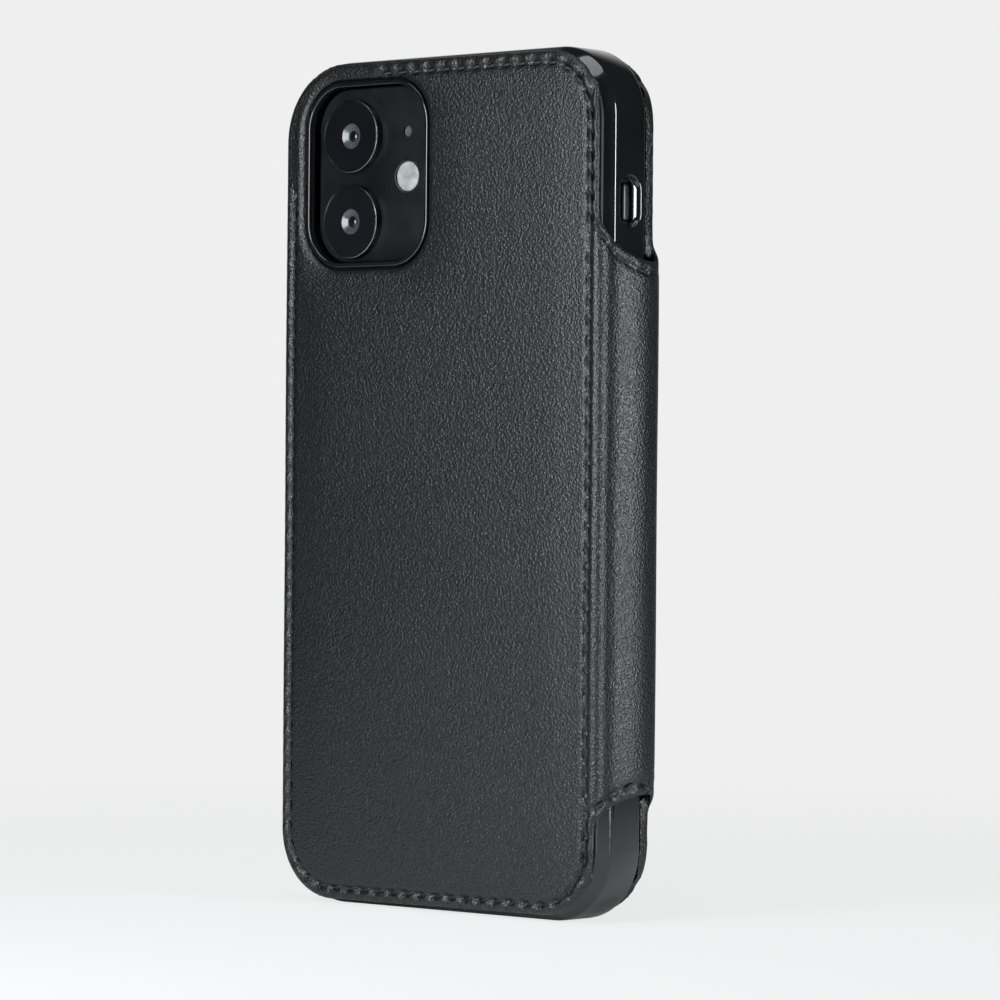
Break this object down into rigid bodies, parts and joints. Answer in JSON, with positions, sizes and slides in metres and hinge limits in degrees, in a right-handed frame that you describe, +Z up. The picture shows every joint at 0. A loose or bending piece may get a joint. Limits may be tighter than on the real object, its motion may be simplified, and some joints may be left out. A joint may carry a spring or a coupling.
{
  "type": "phone wallet case",
  "caption": "Black leather book-style wallet case with a hard shell tray, holding a phone; the spine and front cover fold open on soft leather folds.",
  "frame": {"origin": "on the surface that the closed case stands on, under the middle of its width and thickness", "axes": "+Z up along the case's height; +X across its width towards the spine; +Y through its thickness towards the front cover, so the back cover with the camera window faces -Y"},
  "size_m": [0.0766, 0.0148, 0.1499],
  "materials": {
    "outer_leather": "fine-grained, softly shining",
    "lining_leather": "smooth matt lining leather",
    "microfibre": "short-napped felt",
    "board": "stiff fibreboard",
    "thread": "waxed sewing thread",
    "shell_plastic": "polished hard plastic",
    "phone_metal": "dark anodised, satin",
    "phone_glass": "polished black glass",
    "camera_block": "dark glass with a satin surface",
    "lens_metal": "dark anodised ring with a bright edge",
    "lens_glass": "coated lens glass",
    "flash_lens": "frosted diffuser",
    "inner_parts": "closed block",
    "port_metal": "stamped metal"
  },
  "bodies": {
    "case_back": {"back_leather": "outer_leather", "back_board": "board", "back_lining": "lining_leather", "back_stitching": "thread", "shell": "shell_plastic", "shell_felt": "microfibre", "phone_band": "phone_metal", "phone_back_glass": "phone_glass", "phone_screen": "phone_glass", "phone_inner_block": "inner_parts", "phone_port": "port_metal", "phone_camera_plateau": "camera_block", "phone_lens_ring_upper": "lens_metal", "phone_lens_ring_lower": "lens_metal", "phone_lens_glass_upper": "lens_glass", "phone_lens_glass_lower": "lens_glass", "phone_flash": "flash_lens", "phone_microphone": "inner_parts"},
    "spine": {"spine_leather": "outer_leather", "spine_board": "board", "spine_lining": "lining_leather", "spine_stitching": "thread", "back_fold": "outer_leather", "front_fold": "outer_leather"},
    "front_cover": {"cover_leather": "outer_leather", "cover_board": "board", "cover_stitching": "thread", "cash_pocket": "lining_leather", "card_pocket_low": "outer_leather", "card_pocket_middle": "outer_leather", "card_pocket_high": "outer_leather", "pocket_stitching": "thread"},
    "mute_switch": {"phone_mute_switch": "phone_metal"},
    "volume_up": {"phone_volume_up": "phone_metal"},
    "volume_down": {"phone_volume_down": "phone_metal"},
    "side_button": {"phone_side_button": "phone_metal"}
  },
  "joints": [
    {"name": "spine_hinge", "type": "hinge", "parent": "case_back", "child": "spine", "pos_m": [0.03728, -0.00645, 0.075], "axis": [0, 0, -1], "range_deg": [0, 165]},
    {"name": "cover_hinge", "type": "hinge", "parent": "spine", "child": "front_cover", "pos_m": [0.03728, 0.00605, 0.075], "axis": [0, 0, -1], "range_deg": [0, 175]},
    {"name": "mute_slide", "type": "slide", "parent": "case_back", "child": "mute_switch", "axis": [0, -1, 0], "range_m": [0, 0.0011]},
    {"name": "volume_up_press", "type": "slide", "parent": "case_back", "child": "volume_up", "axis": [-1, 0, 0], "range_m": [0, 0.00025], "stiffness_N_per_m": 4000},
    {"name": "volume_down_press", "type": "slide", "parent": "case_back", "child": "volume_down", "axis": [-1, 0, 0], "range_m": [0, 0.00025], "stiffness_N_per_m": 4000},
    {"name": "side_button_press", "type": "slide", "parent": "case_back", "child": "side_button", "axis": [1, 0, 0], "range_m": [0, 0.00025], "stiffness_N_per_m": 4000}
  ]
}
